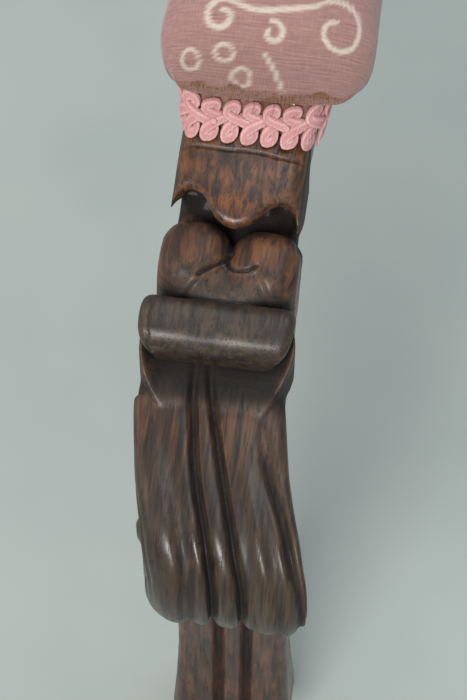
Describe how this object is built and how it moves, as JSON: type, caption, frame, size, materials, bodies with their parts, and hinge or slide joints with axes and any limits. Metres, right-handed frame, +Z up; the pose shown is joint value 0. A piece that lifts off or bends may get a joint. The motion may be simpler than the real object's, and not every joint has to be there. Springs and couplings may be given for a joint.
{
  "type": "carved armchair arm with padded elbow rest",
  "caption": "Carved scroll-ended wooden armchair arm with an upholstered, gimp-trimmed elbow pad and a reeded support post.",
  "frame": {"origin": "middle of the support post's foot, on the face that stands on the seat rail", "axes": "+Z up, -Y towards the chair's front and the scroll's nose, +Y along the arm to the back upright, +X the outer side"},
  "size_m": [0.0692, 0.467, 0.3218],
  "materials": {
    "walnut": "hand-carved walnut, dark stain under a worn satin shellac polish",
    "beech": "turned beech dowel, unfinished",
    "hessian": "coarse jute hessian",
    "curled_hair": "curled horsehair, teased and stitched down",
    "wadding": "cotton wadding",
    "calico": "unbleached calico lining",
    "damask": "fine-ribbed dusty pink damask with a cream scrollwork figure",
    "gimp": "pale pink scroll gimp of two looped wrapped cords",
    "tack_steel": "blued cut tacks",
    "pin_steel": "fine gimp pins"
  },
  "bodies": {
    "root": {"arm_rail": "walnut", "arm_post": "walnut", "joint_dowels": "beech", "foot_dowels": "beech", "rear_dowels": "beech", "pad_hessian": "hessian", "pad_stuffing": "curled_hair", "pad_wadding": "wadding", "pad_calico": "calico", "pad_cover": "damask", "gimp_braid": "gimp", "hessian_tacks": "tack_steel", "calico_tacks": "tack_steel", "cover_tacks": "tack_steel", "gimp_pins": "pin_steel"}
  },
  "joints": []
}
